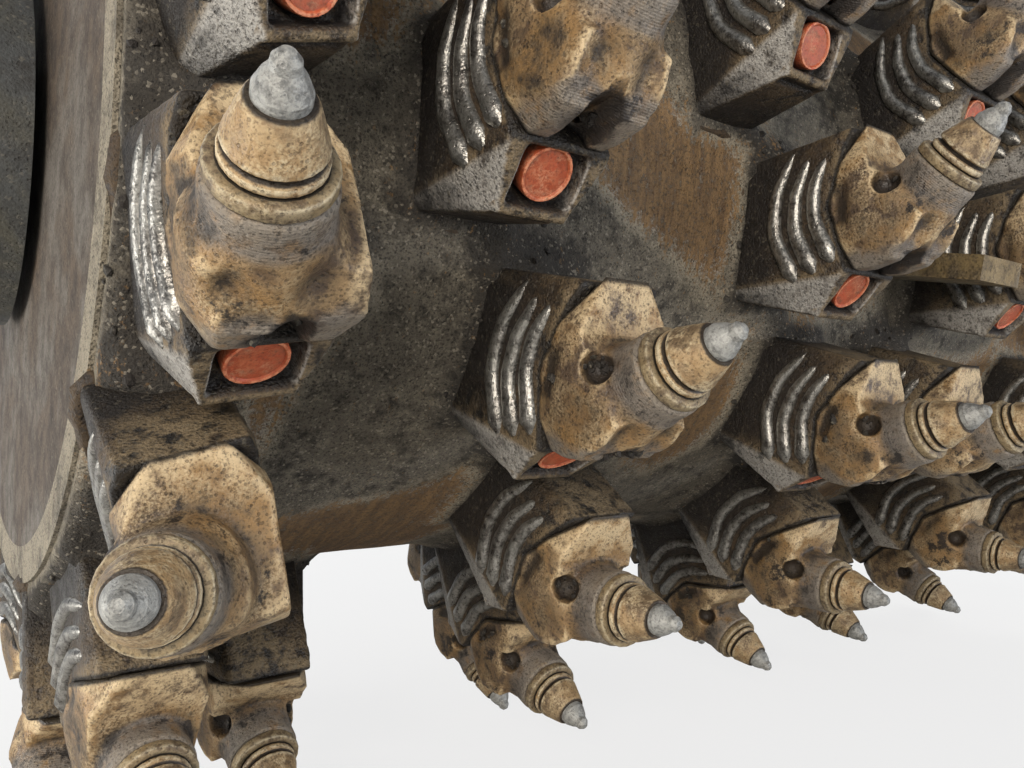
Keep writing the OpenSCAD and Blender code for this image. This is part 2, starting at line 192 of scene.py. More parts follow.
# %% World
world = bpy.data.worlds.new("pale room")
scene.world = world
world.use_nodes = True
wt = world.node_tree
wt.nodes.clear()
seen = add(wt, "ShaderNodeLightPath").outputs["Is Camera Ray"]
room = put(wt, "ShaderNodeBackground", Color=linear("#DDE5F0"), Strength=0.42)
white = put(wt, "ShaderNodeBackground", Color=linear("#FAFAFA"), Strength=1.0)
add(wt, "ShaderNodeOutputWorld", Surface=put(wt, "ShaderNodeMixShader", _0=seen, _1=room, _2=white))
print("world: a dim room that lights, white for the camera")

# %% Lamps
LAMPS = (("key", (-2.75, -1.9, 0.35), (-0.95, -0.1, 0.0), 1.1, 42.0, "#FFF6EA"),
         ("low daylight", (0.4, -2.1, -0.30), (-0.9, -0.1, -0.12), 0.7, 22.0, "#F1F6FF"),
         ("ground light", (-2.1, 0.15, -0.44), (-1.0, -0.25, -0.05), 0.7, 9.0, "#FFFDF8"),
         ("end fill", (1.9, 1.4, 1.0), (-0.4, 0.0, 0.0), 1.8, 34.0, "#FFFFFF"),
         ("back fill", (-1.6, 2.3, 1.2), (-0.7, 0.0, 0.0), 1.8, 26.0, "#FFFFFF"))
for name, place, aim, size, watts, colour in LAMPS:
    data = bpy.data.lights.new(name, "AREA")
    data.shape = "DISK"
    data.size = size
    data.energy = watts
    data.color = linear(colour)[:3]
    lamp = thing(name, data)
    lamp.location = place
    lamp.rotation_euler = (Vector(aim) - Vector(place)).to_track_quat("-Z", "Y").to_euler()
print("lamps:", [row[0] for row in LAMPS])

# %% [markdown]
# ## Finishes
# Nearly every surface of the drum is steel with patches of rust and dust, grime packed into its hollows,
# and grit stuck to it. So one recipe makes them all, and each call gives it the sizes in millimetres.
# Hollows come from a mark on the mesh that is worked out further on, so the grime and a painted shade in the
# hollows follow the shape.

# %% Recipe for worn and dusty steel
GAP_BLACK = "#14110F"


def weathered(name, tones, patch, grain, rough, relief, metal=0.0, grime_and_shade="#2A2521", soot=0.30, speck=None,
              foot=None, pits=0.5, dust=None, rub_and_highlight=None, bare=None, rings=0.0, seam=False):
    """tones: three colours. patch, grain: sizes in mm. relief: height of the grain in mm.
    soot: how dirty the open surface is. foot: (r0, r1) in m, dirtier from r1 inwards to r0.
    dust, rub_and_highlight, bare: tones of pale dust, of rubbed edges with a painted highlight and of
    machined faces. rings: pitch in mm of turning marks on machined faces. seam: a dark gap where base and upper
    part."""
    mat = bpy.data.materials.new(name)
    mat.use_nodes = True
    t = mat.node_tree
    shader = t.nodes["Principled BSDF"]

    def noise_of(size, detail=4.0, rough_=0.65, warp=0.0):
        return put(t, "ShaderNodeTexNoise", Vector=place, Scale=1000.0 / size, Detail=detail,
                        Roughness=rough_, Distortion=warp)

    def ramp(value, low, high, out=1.0):
        return span(t, value, low, high, 0.0, out, True)

    def times(first, second):
        return calc(t, "MULTIPLY", first, second)

    def plus(value, factor, term):
        return calc(t, "MULTIPLY_ADD", value, factor, term)

    place = add(t, "ShaderNodeTexCoord").outputs["Object"]
    broad = noise_of(patch, 4.0, 0.62, 0.4)
    middle = noise_of(patch / 4.6, 4.0, 0.68)
    fine = noise_of(grain, 2.0, 0.75)
    cells = add(t, "ShaderNodeTexVoronoi", Vector=place, Scale=1000.0 / grain).outputs
    hollow = marked(t, "hollow")
    # pits: a few of the cells of a coarser pattern, with an uneven edge
    wells = add(t, "ShaderNodeTexVoronoi", Vector=place, Scale=1000.0 / (1.25 * grain)).outputs
    chosen = add(t, "ShaderNodeSeparateColor", Color=wells["Color"]).outputs[1]
    pit = times(ramp(chosen, 0.70, 0.80), ramp(plus(fine, -0.5, wells["Distance"]), 0.22, 0.04))
    colour = mix(t, ramp(broad, 0.41, 0.59), tones[0], tones[1])
    colour = mix(t, ramp(middle, 0.38, 0.62, 0.62), colour, tones[2])
    # pale edges: wear on the edges, and a painted highlight along them
    if rub_and_highlight:
        colour = mix(t, times(ramp(hollow, -0.05, -0.24), ramp(middle, 0.34, 0.58, 0.85)), colour, rub_and_highlight)
    if dust:
        lying = times(ramp(noise_of(patch / 2.3, 3.0), 0.47, 0.62), ramp(fine, 0.42, 0.66, 0.62))
        colour = mix(t, lying, colour, dust)
    if bare:
        shine = marked(t, "machined")
        colour = mix(t, times(shine, ramp(middle, 0.22, 0.55, 0.88)), colour, bare)
    # a fine dark mottle, and the pits dark at the bottom
    colour = mix(t, ramp(fine, 0.50, 0.30, pits), colour, grime_and_shade)
    colour = mix(t, times(pit, pits * 0.75), colour, grime_and_shade)
    # grime and painted shade in the hollows, and more grime towards the tube
    dirt_and_shade = plus(hollow, 0.95, plus(broad, -0.55, plus(middle, 0.75, soot - 0.42)))
    if seam:
        # packed asphalt round the foot of the nose, in patches
        packed = times(marked(t, "soil"), ramp(noise_of(30.0, 6.0, 0.75), 0.54, 0.68, 0.5))
        dirt_and_shade = calc(t, "ADD", dirt_and_shade, packed)
    if foot:
        axes = add(t, "ShaderNodeSeparateXYZ", Vector=place).outputs
        flat = put(t, "ShaderNodeCombineXYZ", Y=axes["Y"], Z=axes["Z"])
        out = add(t, "ShaderNodeVectorMath", {"operation": "LENGTH"}, _0=flat).outputs["Value"]
        dirt_and_shade = calc(t, "ADD", dirt_and_shade, span(t, out, foot[1], foot[0], 0.0, 0.45))
    colour = mix(t, ramp(dirt_and_shade, -0.06, 0.34, 0.94), colour, grime_and_shade)
    if seam:
        away = plus(fine, -2.4, calc(t, "ABSOLUTE", marked(t, "seam")))
        colour = mix(t, ramp(away, 2.6, 0.4, 0.92), colour, GAP_BLACK)
    if speck:
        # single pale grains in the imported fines
        one = put(t, "ShaderNodeSeparateColor", Color=cells["Color"])
        colour = mix(t, ramp(one, 0.90, 0.99, 0.38), colour, speck)
    t.links.new(colour, shader.inputs["Base Color"])
    shader.inputs["Metallic"].default_value = metal
    t.links.new(span(t, middle, 0.3, 0.7, *rough), shader.inputs["Roughness"])
    high = plus(pit, -1.1, plus(middle, 2.2, plus(cells["Distance"], -0.7, fine)))
    if rings:
        wave = calc(t, "SINE", times(marked(t, "reach"), 2 * pi / rings))
        high = calc(t, "ADD", high, times(times(wave, shine), 0.16))
    bump = put(t, "ShaderNodeBump", Strength=1.0, Distance=relief / 1000.0, Height=high)
    t.links.new(bump, shader.inputs["Normal"])
    return mat


# forged uppers: an oxide skin rubbed to an ochre brown, bare grey steel where they were machined
upper_steel = weathered("forged steel, ochre oxide", ("#9A7A50", "#5A4A3B", "#B5976C"), 48, 1.5, (0.38, 0.70),
    0.36, soot=0.37, grime_and_shade="#221D1A", metal=0.12, pits=0.6, dust="#CDB893", rub_and_highlight="#D8C098", bare="#79736C",
    rings=1.3, seam=True)
# forged bases: the same steel under a skin of bitumen, darker towards the tube
base_steel = weathered("forged steel, bitumen skin", ("#3D3329", "#23201D", "#6E583B"), 46, 1.6, (0.38, 0.78),
    0.8, soot=0.41, grime_and_shade="#181514", speck="#6B6455", foot=(0.318, 0.380), metal=0.05, pits=0.6, rub_and_highlight="#857459",
    bare="#B4B1AB", seam=True)
# ribs on the flanks: polished by the stream of milled stuff
rib_steel = weathered("bare rubbed steel", ("#8B8983", "#605C57", "#BAB7B0"), 24, 1.6, (0.24, 0.42), 0.22,
    soot=0.13, grime_and_shade="#26221F", metal=0.8)
# turned parts: picks under a film of tan dust, washers scuffed pale where the pick turns on them
pick_steel = weathered("turned steel, tan dust", ("#A98B63", "#75624B", "#C5AC84"), 30, 1.4, (0.38, 0.66), 0.3,
    soot=0.21, grime_and_shade="#231D19", metal=0.15, dust="#DACAA8", rub_and_highlight="#DFCFAE")
washer_steel = weathered("scuffed spring steel", ("#94805F", "#6A5A47", "#B7A582"), 18, 1.4, (0.38, 0.62),
    0.24, soot=0.25, grime_and_shade="#231F1B", metal=0.25, rub_and_highlight="#C9BB9E")
# tips: matt blue-grey with a chalky bloom; plugs: dull plastic with a little dust
carbide = weathered("sintered carbide", ("#9C9C98", "#7B7B78", "#BDBCB6"), 12, 1.1, (0.34, 0.6), 0.2,
    soot=0.20, grime_and_shade="#51504D", metal=0.2, pits=0.4)
plug_plastic = weathered("moulded terracotta plastic", ("#B8502D", "#9A4422", "#C97048"), 22, 1.4,
    (0.45, 0.65), 0.14, soot=0.16, grime_and_shade="#4A2A1E", pits=0.35, dust="#C99A78", rub_and_highlight="#D98C66")
# tube: fines over rusty steel with single pale grains outside, brown rust under grey dust inside
tube_crust = weathered("packed asphalt fines", ("#938A78", "#625B4F", "#A99F8B"), 58, 1.5, (0.72, 0.95), 1.0,
    soot=0.24, grime_and_shade="#26221E", speck="#ADA493", pits=0.8, rub_and_highlight="#A2988A")
inner_steel = weathered("plate steel, brown rust", ("#56483A", "#68625A", "#453D36"), 80, 1.8, (0.66, 0.9),
    0.4, soot=0.28, speck="#7F796C")
# weld beads: coarse ripples; throwers: flat plate, rubbed to grey steel and tan with dust
weld_steel = weathered("weld metal, rusted", ("#4E3F2E", "#332B24", "#6D5739"), 18, 1.8, (0.5, 0.8), 0.6,
    soot=0.38, metal=0.15)
thrower_steel = weathered("wear plate, rubbed", ("#86734F", "#8A8271", "#5F503A"), 60, 2.0, (0.45, 0.7), 0.4,
    soot=0.28, metal=0.25, dust="#C4AE86")
# iron castings in enamel: the gear case, then the bearing housing, its cap and the flange
case_enamel = weathered("dark grey enamel on cast iron", ("#45494B", "#3B3E40", "#575855"), 90, 2.0,
    (0.45, 0.66), 0.3, soot=0.24, speck="#7B766B")
housing_enamel = weathered("grey enamel on iron, dusty", ("#4A4C4C", "#555349", "#3D3E3D"), 75, 1.8,
    (0.5, 0.74), 0.3, soot=0.26, speck="#7B766B")
# shafts: bright and smooth, lightly stained
machined = weathered("machined steel", ("#A3A29D", "#8C8A84", "#B8B7B2"), 48, 1.2, (0.24, 0.42), 0.05,
    soot=0.08, grime_and_shade="#5B5348", metal=0.9, pits=0.2)
# broken bits of the road, bitumen black to stone grey
crumb_stuff = weathered("asphalt crumbs", ("#38342E", "#4C473C", "#1F1D1B"), 13, 1.8, (0.55, 0.92), 0.5,
    soot=0.22, speck="#8F8877")
print("finishes:", len(bpy.data.materials))

# %% [markdown]
# ## The holders' pattern
# Four flights of holders wind inwards from both ends to the middle of the drum, one step of 22.5 degrees
# and 60 mm at a time, so that the cut stuff is carried to mid-width. At each end stands a ring of sixteen
# edge holders, turned a little on the tube, whose picks lean out over the edge. These are the numbers of
# the solids.

# %% Places of the holders
TUBE_R, CUT_R = 0.315, 0.490
Z_VEE = 0.387
STEP = 22.5
LINE = 0.015
STARTS = 4
X_MEET = -0.697
ENDS = ((-67.8, -22.8), (22.2, 67.2), (112.2, 157.2), (206.9, 247.2))
LAST_LINE = (35, 32)
SIGN = {"bearing": 1, "drive": -1}
X_EDGE = {"bearing": -1.362, "drive": -0.062}
PHASE = {"bearing": -10.3, "drive": 8.0}
EDGE_SEAT, SEAT_TURN = 0.060, 280.0
SEAT_Y = -0.0606
# for each edge holder its tip's distance from the edge in mm and its extra angle
EDGE_TIPS = ((30, 0), (0, 1.5), (60, 0), (15, 0), (75, 0), (0, 0), (105, 0), (0, 0),
             (30, 0), (120, 0), (45, 0), (15, 0), (90, 0), (0, 0), (60, 0), (0, 0))
PICK_LEAN = 40.4
SEAT_LEN = -SEAT_Y / sin(radians(PICK_LEAN))
LEAN_SHARE = 0.73


def flight_rows(k):
    """The two half rows of a flight: count, first x, x step, first angle, angle step, turn."""
    outward, inward = (len(range(k, last + 1, STARTS)) for last in LAST_LINE)
    return [(outward, X_MEET - LINE * k, -STARTS * LINE, ENDS[k][0], STEP, 0.0),
            (inward, X_MEET + LINE * (k + 1), STARTS * LINE, ENDS[k][1], STEP, 0.0)]


def edge_rows(side, at_tips=False):
    """Sixteen rows of one, because each edge holder has a turn of its own. at_tips: places of the tips."""
    rows = []
    for j, (tip, extra) in enumerate(EDGE_TIPS):
        out = tip / 1000.0 if at_tips else EDGE_SEAT
        turned = 0.0 if at_tips else SIGN[side] * SEAT_TURN * (EDGE_SEAT - tip / 1000.0)
        rows.append((1, X_EDGE[side] + SIGN[side] * out, 0.0, PHASE[side] - j * STEP + extra, 0.0, turned))
    return rows


def seats(rows):
    """Every seat of some rows as x, angle and turn."""
    return [(x + i * dx, a + i * da, turn) for count, x, dx, a, da, turn in rows for i in range(count)]


def upright(x, angle):
    """Axes at a place on the drum: X along the drum, Y forwards, Z outwards."""
    return Matrix.Translation((x, 0, 0)) @ Matrix.Rotation(radians(90.0 - angle), 4, "X")


def drum_frame(x, angle, turn=0.0):
    """From a holder's own axes to the drum's. The holder is turned about its seat."""
    return (upright(x, angle) @ Matrix.Translation((0, SEAT_Y, 0))
            @ Matrix.Rotation(radians(turn), 4, "Z") @ Matrix.Translation((0, -SEAT_Y, 0)))


def pick_frame(skew=0.0):
    """From a pick's own axes (origin at the tip, Z outwards along the pick) to the holder's."""
    return (Matrix.Translation((0, 0, CUT_R)) @ Matrix.Rotation(radians(-PICK_LEAN), 4, "X")
            @ Matrix.Rotation(radians(-skew), 4, "Y"))


def edge_skew(side, tip):
    """How far an edge pick leans sideways, in degrees."""
    return SIGN[side] * degrees(asin(LEAN_SHARE * (EDGE_SEAT - tip / 1000.0) / SEAT_LEN))


all_rows = [r for k in range(4) for r in flight_rows(k)] + edge_rows("bearing") + edge_rows("drive")
all_seats = seats(all_rows)
print("holders:", len(all_seats))

# %% [markdown]
# ## From a machined-looking solid to a forging
# The solids have flat faces and sharp edges. A forging has neither. A copy of one solid is remeshed in
# small voxels, smoothed until its edges are a few millimetres round, and thinned out again, which keeps
# its place and size. A last step looks at how each point lies against its neighbours and keeps the
# result as the mark "hollow", for grime and for a painted shade in the hollows.

# %% Copy one solid or a whole node
NECK, BODY = Vector((0, -0.05, 0.415)), Vector((0, -0.055, 0.345))


def mesh_of(made, name):
    """Ends work on a bmesh and gives it as a mesh."""
    mesh = bpy.data.meshes.new(name)
    made.to_mesh(mesh)
    made.free()
    return mesh


def island_from(start, left):
    """All points joined to the first by edges. They are taken out of the points that are left."""
    island, waiting = {start}, [start]
    while waiting:
        for e in waiting.pop().link_edges:
            for v in e.verts:
                if v in left:
                    left.discard(v)
                    island.add(v)
                    waiting.append(v)
    return island


def node_mesh(node, seat=None, spot=None):
    """A merged copy of a CAD node's mesh. With a seat, only the solid closest to a spot in the seat's
    axes, moved into those axes."""
    made = bmesh.new()
    made.from_mesh(frame["nodes"][node].data)
    bmesh.ops.remove_doubles(made, verts=made.verts, dist=2e-6)
    if seat is not None:
        left, islands = set(made.verts), []
        while left:
            islands.append(island_from(left.pop(), left))
        keep = min(islands, key=lambda part: (sum((v.co for v in part), Vector()) / len(part)
                                              - seat @ spot).length)
        bmesh.ops.delete(made, geom=[v for v in made.verts if v not in keep], context="VERTS")
        made.transform(seat.inverted())
    return mesh_of(made, node + " copy")


def remove(*spares):
    for spare in spares:
        bpy.data.objects.remove(spare)


def plain(piece):
    """The evaluated result as a plain mesh object in place of the one with modifiers."""
    graph = bpy.context.evaluated_depsgraph_get()
    mesh = bpy.data.meshes.new_from_object(piece.evaluated_get(graph), preserve_all_data_layers=True,
                                           depsgraph=graph)
    mesh.name = name = piece.name
    remove(piece)
    return thing(name, mesh)


def triangles(*pieces):
    """How many triangles some objects have together."""
    for piece in pieces:
        piece.data.calc_loop_triangles()
    return sum(len(piece.data.loop_triangles) for piece in pieces)


first_seat = drum_frame(X_MEET, ENDS[0][0])
whole_base = node_mesh("bases_flight_1", first_seat, BODY)
whole_upper = node_mesh("holders_flight_1", first_seat, NECK)
print("points of one base and one upper:", len(whole_base.vertices), len(whole_upper.vertices))

# %% Round a copy and mark its hollows
def points_of(mesh, what="co"):
    values = np.empty(len(mesh.vertices) * 3)
    mesh.vertices.foreach_get(what, values)
    return values.reshape(-1, 3)


def put_points(mesh, spots):
    mesh.vertices.foreach_set("co", spots.ravel())
    mesh.update()


def write(mesh, name, values):
    layer = mesh.attributes.new(name, "FLOAT", "POINT")
    layer.data.foreach_set("value", np.asarray(values, dtype=np.float32).ravel())


def hollows_of(mesh, rounds=3, gain=2.6):
    """How deep each point lies between its neighbours, from 0 to 1. Edges come out below 0."""
    count = len(mesh.vertices)
    co, normal = points_of(mesh), points_of(mesh, "normal")
    ends = np.empty(len(mesh.edges) * 2, dtype=np.int64)
    mesh.edges.foreach_get("vertices", ends)
    a, b = ends.reshape(-1, 2).T
    step = co[b] - co[a]
    step /= np.maximum(np.linalg.norm(step, axis=1), 1e-9)[:, None]
    total, number = np.zeros(count), np.zeros(count)
    for end, way in ((a, step), (b, -step)):
        np.add.at(total, end, (normal[end] * way).sum(1))
        np.add.at(number, end, 1)
    value = total / np.maximum(number, 1)
    for _ in range(rounds):
        spread = value.copy()
        np.add.at(spread, a, value[b])
        np.add.at(spread, b, value[a])
        value = spread / (number + 1)
    return np.clip(value * gain, -0.3, 1.0)


def forged(mesh, name, voxel, rounds, budget, move, mark):
    """A closed solid with its edges rounded, in about so many triangles. move and mark work on its points."""
    piece = thing(name, mesh)
    grid = piece.modifiers.new("small voxels", "REMESH")
    grid.mode = "VOXEL"
    grid.voxel_size = voxel
    grid.use_smooth_shade = True
    soft = piece.modifiers.new("rounded edges", "SMOOTH")
    soft.factor = 0.5
    soft.iterations = rounds
    piece = plain(piece)
    put_points(piece.data, move(points_of(piece.data)))
    thin = piece.modifiers.new("thinned", "DECIMATE")
    thin.ratio = min(1.0, budget / triangles(piece))
    piece = plain(piece)
    marks = mark(points_of(piece.data), points_of(piece.data, "normal"))
    marks["hollow"] = hollows_of(piece.data) + marks.get("hollow", 0)
    for key, values in marks.items():
        write(piece.data, key, values)
    piece.data.shade_smooth()
    return piece


print("forging: remesh, smooth, press, thin, mark")

# %% [markdown]
# ## What the hammer and the lathe leave
# The upper has two soft dimples behind its nose and a crown that is pressed low. The nose under the washer
# and the lobes at the back are machined. All of it is worked out in the axes of the holder's seat and in
# those of its pick, whose depth is counted from the tip.

# %% Shape and marks of an upper
REAR_Y, REAR_Z, REAR_LEAN = -0.094, 0.400, radians(42.95)
NOTCH_R = 0.0125


def carry(matrix, spots):
    m = np.array(matrix)
    return spots @ m[:3, :3].T + m[:3, 3]


def soft_step(value, low, high):
    v = np.clip((value - low) / (high - low), 0, 1)
    return v * v * (3 - 2 * v)


def press_upper(spots, pick, salt, seat=Matrix()):
    """Moves points of an upper: lower crown, dimples, lumps, and the notch over the plug."""
    p = carry(pick.inverted(), spots)
    side, back, out = p.T
    depth, high = -out, -back
    crown = soft_step(depth, 0.066, 0.072) * (1 - soft_step(depth, 0.100, 0.106))
    back += crown * np.maximum(high - 0.022, 0) * 0.42
    for middle in (-0.0155, 0.0155):
        far = np.hypot(side - middle, (depth - 0.0835) * 0.8)
        back += 0.0065 * np.exp(-(far / 0.0085) ** 2) * soft_step(high, 0.012, 0.020)
    lumps = np.array([noise.noise(Vector(q) * 34.0 + Vector((salt, 0, 0))) for q in p])
    side += 0.0009 * lumps * (1 - soft_step(depth, 0.070, 0.066)) * np.sign(side)
    h = carry(seat.inverted(), carry(pick, p))
    side, ahead, _ = h.T
    bite = np.sqrt(np.maximum(NOTCH_R ** 2 - side ** 2, 0)) - (ahead - REAR_Y)
    ahead += np.maximum(bite, 0) * (np.abs(side) < NOTCH_R)
    return carry(seat, h)


def parting(spots):
    """How far a point lies over the parting line between base and upper, in mm, in the seat's axes."""
    y = spots[:, 1] + 0.049
    line = Z_VEE + np.where(y > 0, y * 18 / 52, -y * 13 / 45)
    return np.clip((spots[:, 2] - line) * 1000.0, -30, 30)


def mark_upper(spots, normals, pick, seat=Matrix()):
    """Machined faces, depth along the pick in mm, darker flanks, painted shade in the notch, the parting line and
    packed soil.
    """
    p = carry(pick.inverted(), spots)
    h = carry(seat.inverted(), spots)
    n = normals @ np.array(seat.to_3x3())
    depth, radius = -p[:, 2], np.hypot(p[:, 0], p[:, 1])
    side, ahead, out = h.T
    nose = (1 - soft_step(radius, 0.0255, 0.028)) * (1 - soft_step(depth, 0.066, 0.070))
    lobe = np.hypot((np.abs(side) - 0.0180) / 0.0150, (ahead + 0.0880) / 0.0095)
    rear = soft_step(-n[:, 1], 0.10, 0.30) * (1 - soft_step(lobe, 0.85, 1.05))
    notch = 1 - soft_step(np.hypot(side, ahead - REAR_Y), 0.0126, 0.0138)
    soil = (soft_step(depth, 0.056, 0.064) * (1 - soft_step(depth, 0.096, 0.112))
            * (1 - soft_step(radius, 0.034, 0.048)) * soft_step(out, 0.408, 0.416))
    # hollow also darkens the flanks where they face sideways, and paints shade into the notch over the plug
    return {"machined": np.maximum(nose, rear), "reach": depth * 1000.0, "seam": parting(h), "soil": soil,
            "hollow": 0.16 * soft_step(np.abs(n[:, 0]), 0.80, 0.95) + 0.5 * notch}


def add_lip(mesh):
    """The bar that closes the plug's pocket at its lower end, as one more closed box in the mesh."""
    made = bmesh.new()
    made.from_mesh(mesh)
    for v in bmesh.ops.create_cube(made, size=1.0)["verts"]:
        x, along, out = v.co.x * 0.046, -0.0385 + v.co.y * 0.0065, -0.0062 + v.co.z * 0.0124
        v.co = (x, REAR_Y + along * cos(REAR_LEAN) - out * sin(REAR_LEAN),
                REAR_Z + along * sin(REAR_LEAN) + out * cos(REAR_LEAN))
    made.to_mesh(mesh)
    made.free()


def flatten_ribs(spots):
    """Takes the flat ribs of the solid off the flanks, for the round ones to come."""
    spots = spots.copy()
    spots[:, 0] = np.clip(spots[:, 0], -0.0321, 0.0321)
    return spots


def mark_base(spots, normals):
    """The rear corners are paler."""
    sideways = np.abs(normals[:, 0])
    corner = (soft_step(-spots[:, 1], 0.094, 0.101) * soft_step(sideways, 0.55, 0.75)
              * (1 - soft_step(sideways, 0.955, 0.99)) * (np.abs(spots[:, 0]) > 0.017))
    return {"machined": corner, "seam": parting(spots)}


put_points(whole_base, flatten_ribs(points_of(whole_base)))
add_lip(whole_base)
level_pick = pick_frame()
# a close one for the half of the drum that the camera sees, and a plainer one for the far half
base_one, base_far = (forged(whole_base.copy(), "one base", 0.0017, 8, count, flatten_ribs, mark_base)
                      for count in (2500, 1150))
upper_one, upper_far = (forged(whole_upper.copy(), "one upper", 0.0015, 5, count,
                               lambda c: press_upper(c, level_pick, 1.7),
                               lambda c, n: mark_upper(c, n, level_pick)) for count in (4000, 1500))
for piece in (base_one, base_far, upper_one, upper_far):
    print(piece.name, triangles(piece), [round(v, 3) for v in piece.dimensions])

# %% [markdown]
# ## Rows by Geometry Nodes
# One tree lays out any row of the drum: so many pieces, from a first place and angle, with a step along
# the axis and a step round it. Each piece is turned about its seat. The tree joins its row to what comes
# in, so many rows can stand on one object.

# %% Tree helpers
def new_tree(name, **inputs):
    """A tree, its given inputs and a short way to add nodes. An input has a value, or the kind of thing."""
    tree = bpy.data.node_groups.new(name, "GeometryNodeTree")
    for label, value in {"Geometry": "Geometry", **inputs}.items():
        kind = value if isinstance(value, str) else {int: "Int", float: "Float"}[type(value)]
        made = tree.interface.new_socket(name=label.replace("_", " "), in_out="INPUT",
                                         socket_type="NodeSocket" + kind)
        if kind != value:
            made.default_value = value
    tree.interface.new_socket(name="Geometry", in_out="OUTPUT", socket_type="NodeSocketGeometry")
    return tree, add(tree, "NodeGroupInput").outputs, partial(put, tree)


def use_tree(host, tree, **values):
    """Adds a tree to an object, with values for its inputs, named with _ for a space."""
    rule = host.modifiers.new(tree.name, "NODES")
    rule.node_group = tree
    keys = {item.name: item.identifier for item in tree.interface.items_tree if item.in_out == "INPUT"}
    for name, value in values.items():
        rule[keys[name.replace("_", " ")]] = value


def copies(tree, points, piece, turned, **more):
    """An object's shape on every point."""
    shape = add(tree, "GeometryNodeObjectInfo", Object=piece).outputs["Geometry"]
    return put(tree, "GeometryNodeInstanceOnPoints", Points=points, Instance=shape, Rotation=turned, **more)


def hand_out(tree, finish, laid, *others):
    """Makes what is laid out real, gives it its finish, joins it to the others and hands it out."""
    solid = put(tree, "GeometryNodeRealizeInstances", Geometry=laid)
    both = add(tree, "GeometryNodeJoinGeometry")
    for part in (*others, put(tree, "GeometryNodeSetMaterial", Geometry=solid, Material=finish)):
        tree.links.new(part, both.inputs[0])
    add(tree, "NodeGroupOutput", Geometry=both.outputs[0])
    print(tree.name + ":", len(tree.nodes), "nodes")


# %% Holder row tree
row_tree, given, node = new_tree("Holder row", Count=9, First_X=0.0, X_Step=0.06, First_Angle=0.0,
                                 Angle_Step=22.5, Turn=0.0, Seat_Y=SEAT_Y, Piece="Object", Finish="Material")
line = node("GeometryNodeMeshLine", {"mode": "OFFSET"}, Count=given["Count"],
            Start_Location=node("ShaderNodeCombineXYZ", X=given["First X"]),
            Offset=node("ShaderNodeCombineXYZ", X=given["X Step"]))
angle = calc(row_tree, "MULTIPLY_ADD", node("GeometryNodeInputIndex"), given["Angle Step"], given["First Angle"])
lean = calc(row_tree, "RADIANS", calc(row_tree, "SUBTRACT", 90.0, angle))
placed = copies(row_tree, line, given["Piece"], node("ShaderNodeCombineXYZ", X=lean))
pivot = node("ShaderNodeCombineXYZ", Y=given["Seat Y"])
back = node("ShaderNodeVectorMath", {"operation": "SCALE"}, _0=pivot, Scale=-1.0)
turn = node("ShaderNodeCombineXYZ", Z=calc(row_tree, "RADIANS", given["Turn"]))
moved = node("GeometryNodeTranslateInstances", Instances=placed, Translation=pivot)
moved = node("GeometryNodeRotateInstances", Instances=moved, Rotation=turn)
moved = node("GeometryNodeTranslateInstances", Instances=moved, Translation=back)
hand_out(row_tree, given["Finish"], moved, given["Geometry"])

# %% Lay out rows
def lay_out(name, pieces, rows, finish):
    """One plain mesh of pieces over some rows: one piece for all rows, or a list with one for each."""
    pieces = pieces if isinstance(pieces, list) else [pieces] * len(rows)
    host = thing(name, bpy.data.meshes.new(name))
    for piece, (count, x, dx, a, da, turned) in zip(pieces, rows):
        use_tree(host, row_tree, Count=count, First_X=x, X_Step=dx, First_Angle=a, Angle_Step=da, Turn=turned,
                 Piece=piece, Finish=finish)
    made = plain(host)
    made.data.shade_smooth()
    return made


def dress(piece, slot, *nodes, body="drum"):
    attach(piece, body)
    if any(nodes):
        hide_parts(*nodes)


def flights(stem, close, far, finish):
    """One mesh for each flight, with a close and a plain template, each on its half of the drum."""
    done = []
    for k in range(4):
        made = bmesh.new()
        for piece, row in zip((close, far), flight_rows(k)):
            part = lay_out("half a flight", piece, [row], finish)
            made.from_mesh(part.data)
            remove(part)
        name = "%s_row_%d" % (stem, k + 1)
        done.append(thing(name, mesh_of(made, name)))
        done[-1].data.materials.append(finish)
        done[-1].data.shade_smooth()
    return done


for stem, close, far, finish, slot, solids in (
        ("bases", base_one, base_far, base_steel, "base_holders", "bases_flight_%d"),
        ("uppers", upper_one, upper_far, upper_steel, "upper_holders", "holders_flight_%d")):
    for k, piece in enumerate(flights(stem, close, far, finish)):
        dress(piece, slot, solids % (k + 1))
        print(piece.name, triangles(piece))

# %% [markdown]
# ## Edge holders
# The bases of the edge rings are the same forging, turned on their seats, so the same tree lays them
# out. Each upper of an edge ring is different, because its pick leans by its own angle: those are taken
# over whole, from the solids, and rounded in place.

# %% Edge rings
def work_ring(side):
    """move and mark for a ring of uppers: each point goes by the seat and the pick of its own holder."""
    frames = [(drum_frame(x, angle, turned),
               upright(X_EDGE[side] + SIGN[side] * tip / 1000.0, angle) @ pick_frame(edge_skew(side, tip)))
              for (tip, _), (x, angle, turned) in zip(EDGE_TIPS, seats(edge_rows(side)))]
    middles = np.array([seat @ NECK for seat, _ in frames])

    def shares(spots):
        owner = np.argmin(((spots[:, None, :] - middles[None]) ** 2).sum(2), axis=1)
        return [(i, owner == i, seat, pick) for i, (seat, pick) in enumerate(frames)]

    def move(spots):
        moved = spots.copy()
        for i, mine, seat, pick in shares(spots):
            moved[mine] = press_upper(spots[mine], pick, 3.1 * i, seat)
        return moved

    def mark(spots, normals):
        values = {}
        for _, mine, seat, pick in shares(spots):
            for key, part in mark_upper(spots[mine], normals[mine], pick, seat).items():
                values.setdefault(key, np.zeros(len(spots)))[mine] = part
        return values

    return move, mark


